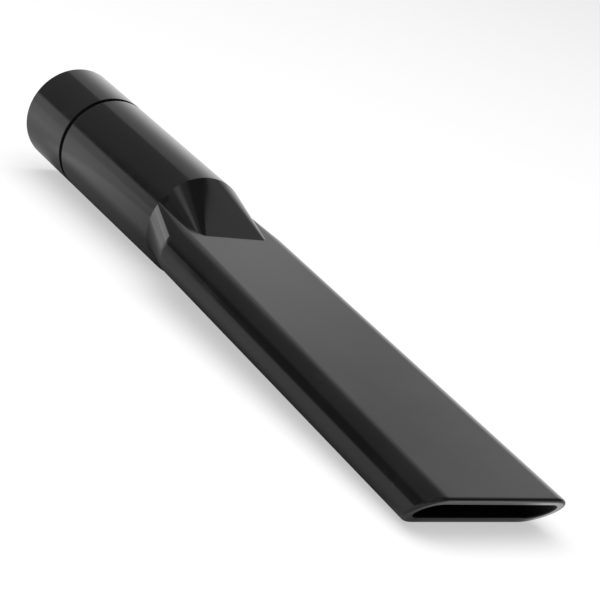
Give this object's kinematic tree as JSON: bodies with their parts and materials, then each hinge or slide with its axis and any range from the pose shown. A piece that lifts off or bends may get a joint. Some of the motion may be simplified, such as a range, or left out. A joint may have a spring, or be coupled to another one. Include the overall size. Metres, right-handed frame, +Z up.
{
  "type": "vacuum crevice tool",
  "caption": "Hollow black plastic crevice tool for a vacuum cleaner: a round socket for the wand runs through a tapered hump into a long flat nozzle with a slanted mouth.",
  "frame": {"origin": "middle of the tool's bounding box, on the surface that it lies on", "axes": "+X along the tool from the wand socket to the slanted mouth, +Y across it, +Z up"},
  "size_m": [0.2854, 0.0526, 0.0397],
  "materials": {
    "black_plastic": "gloss, with faint moulding waves and fine handling marks"
  },
  "bodies": {
    "root": {"crevice_tool": "black_plastic"}
  },
  "joints": []
}
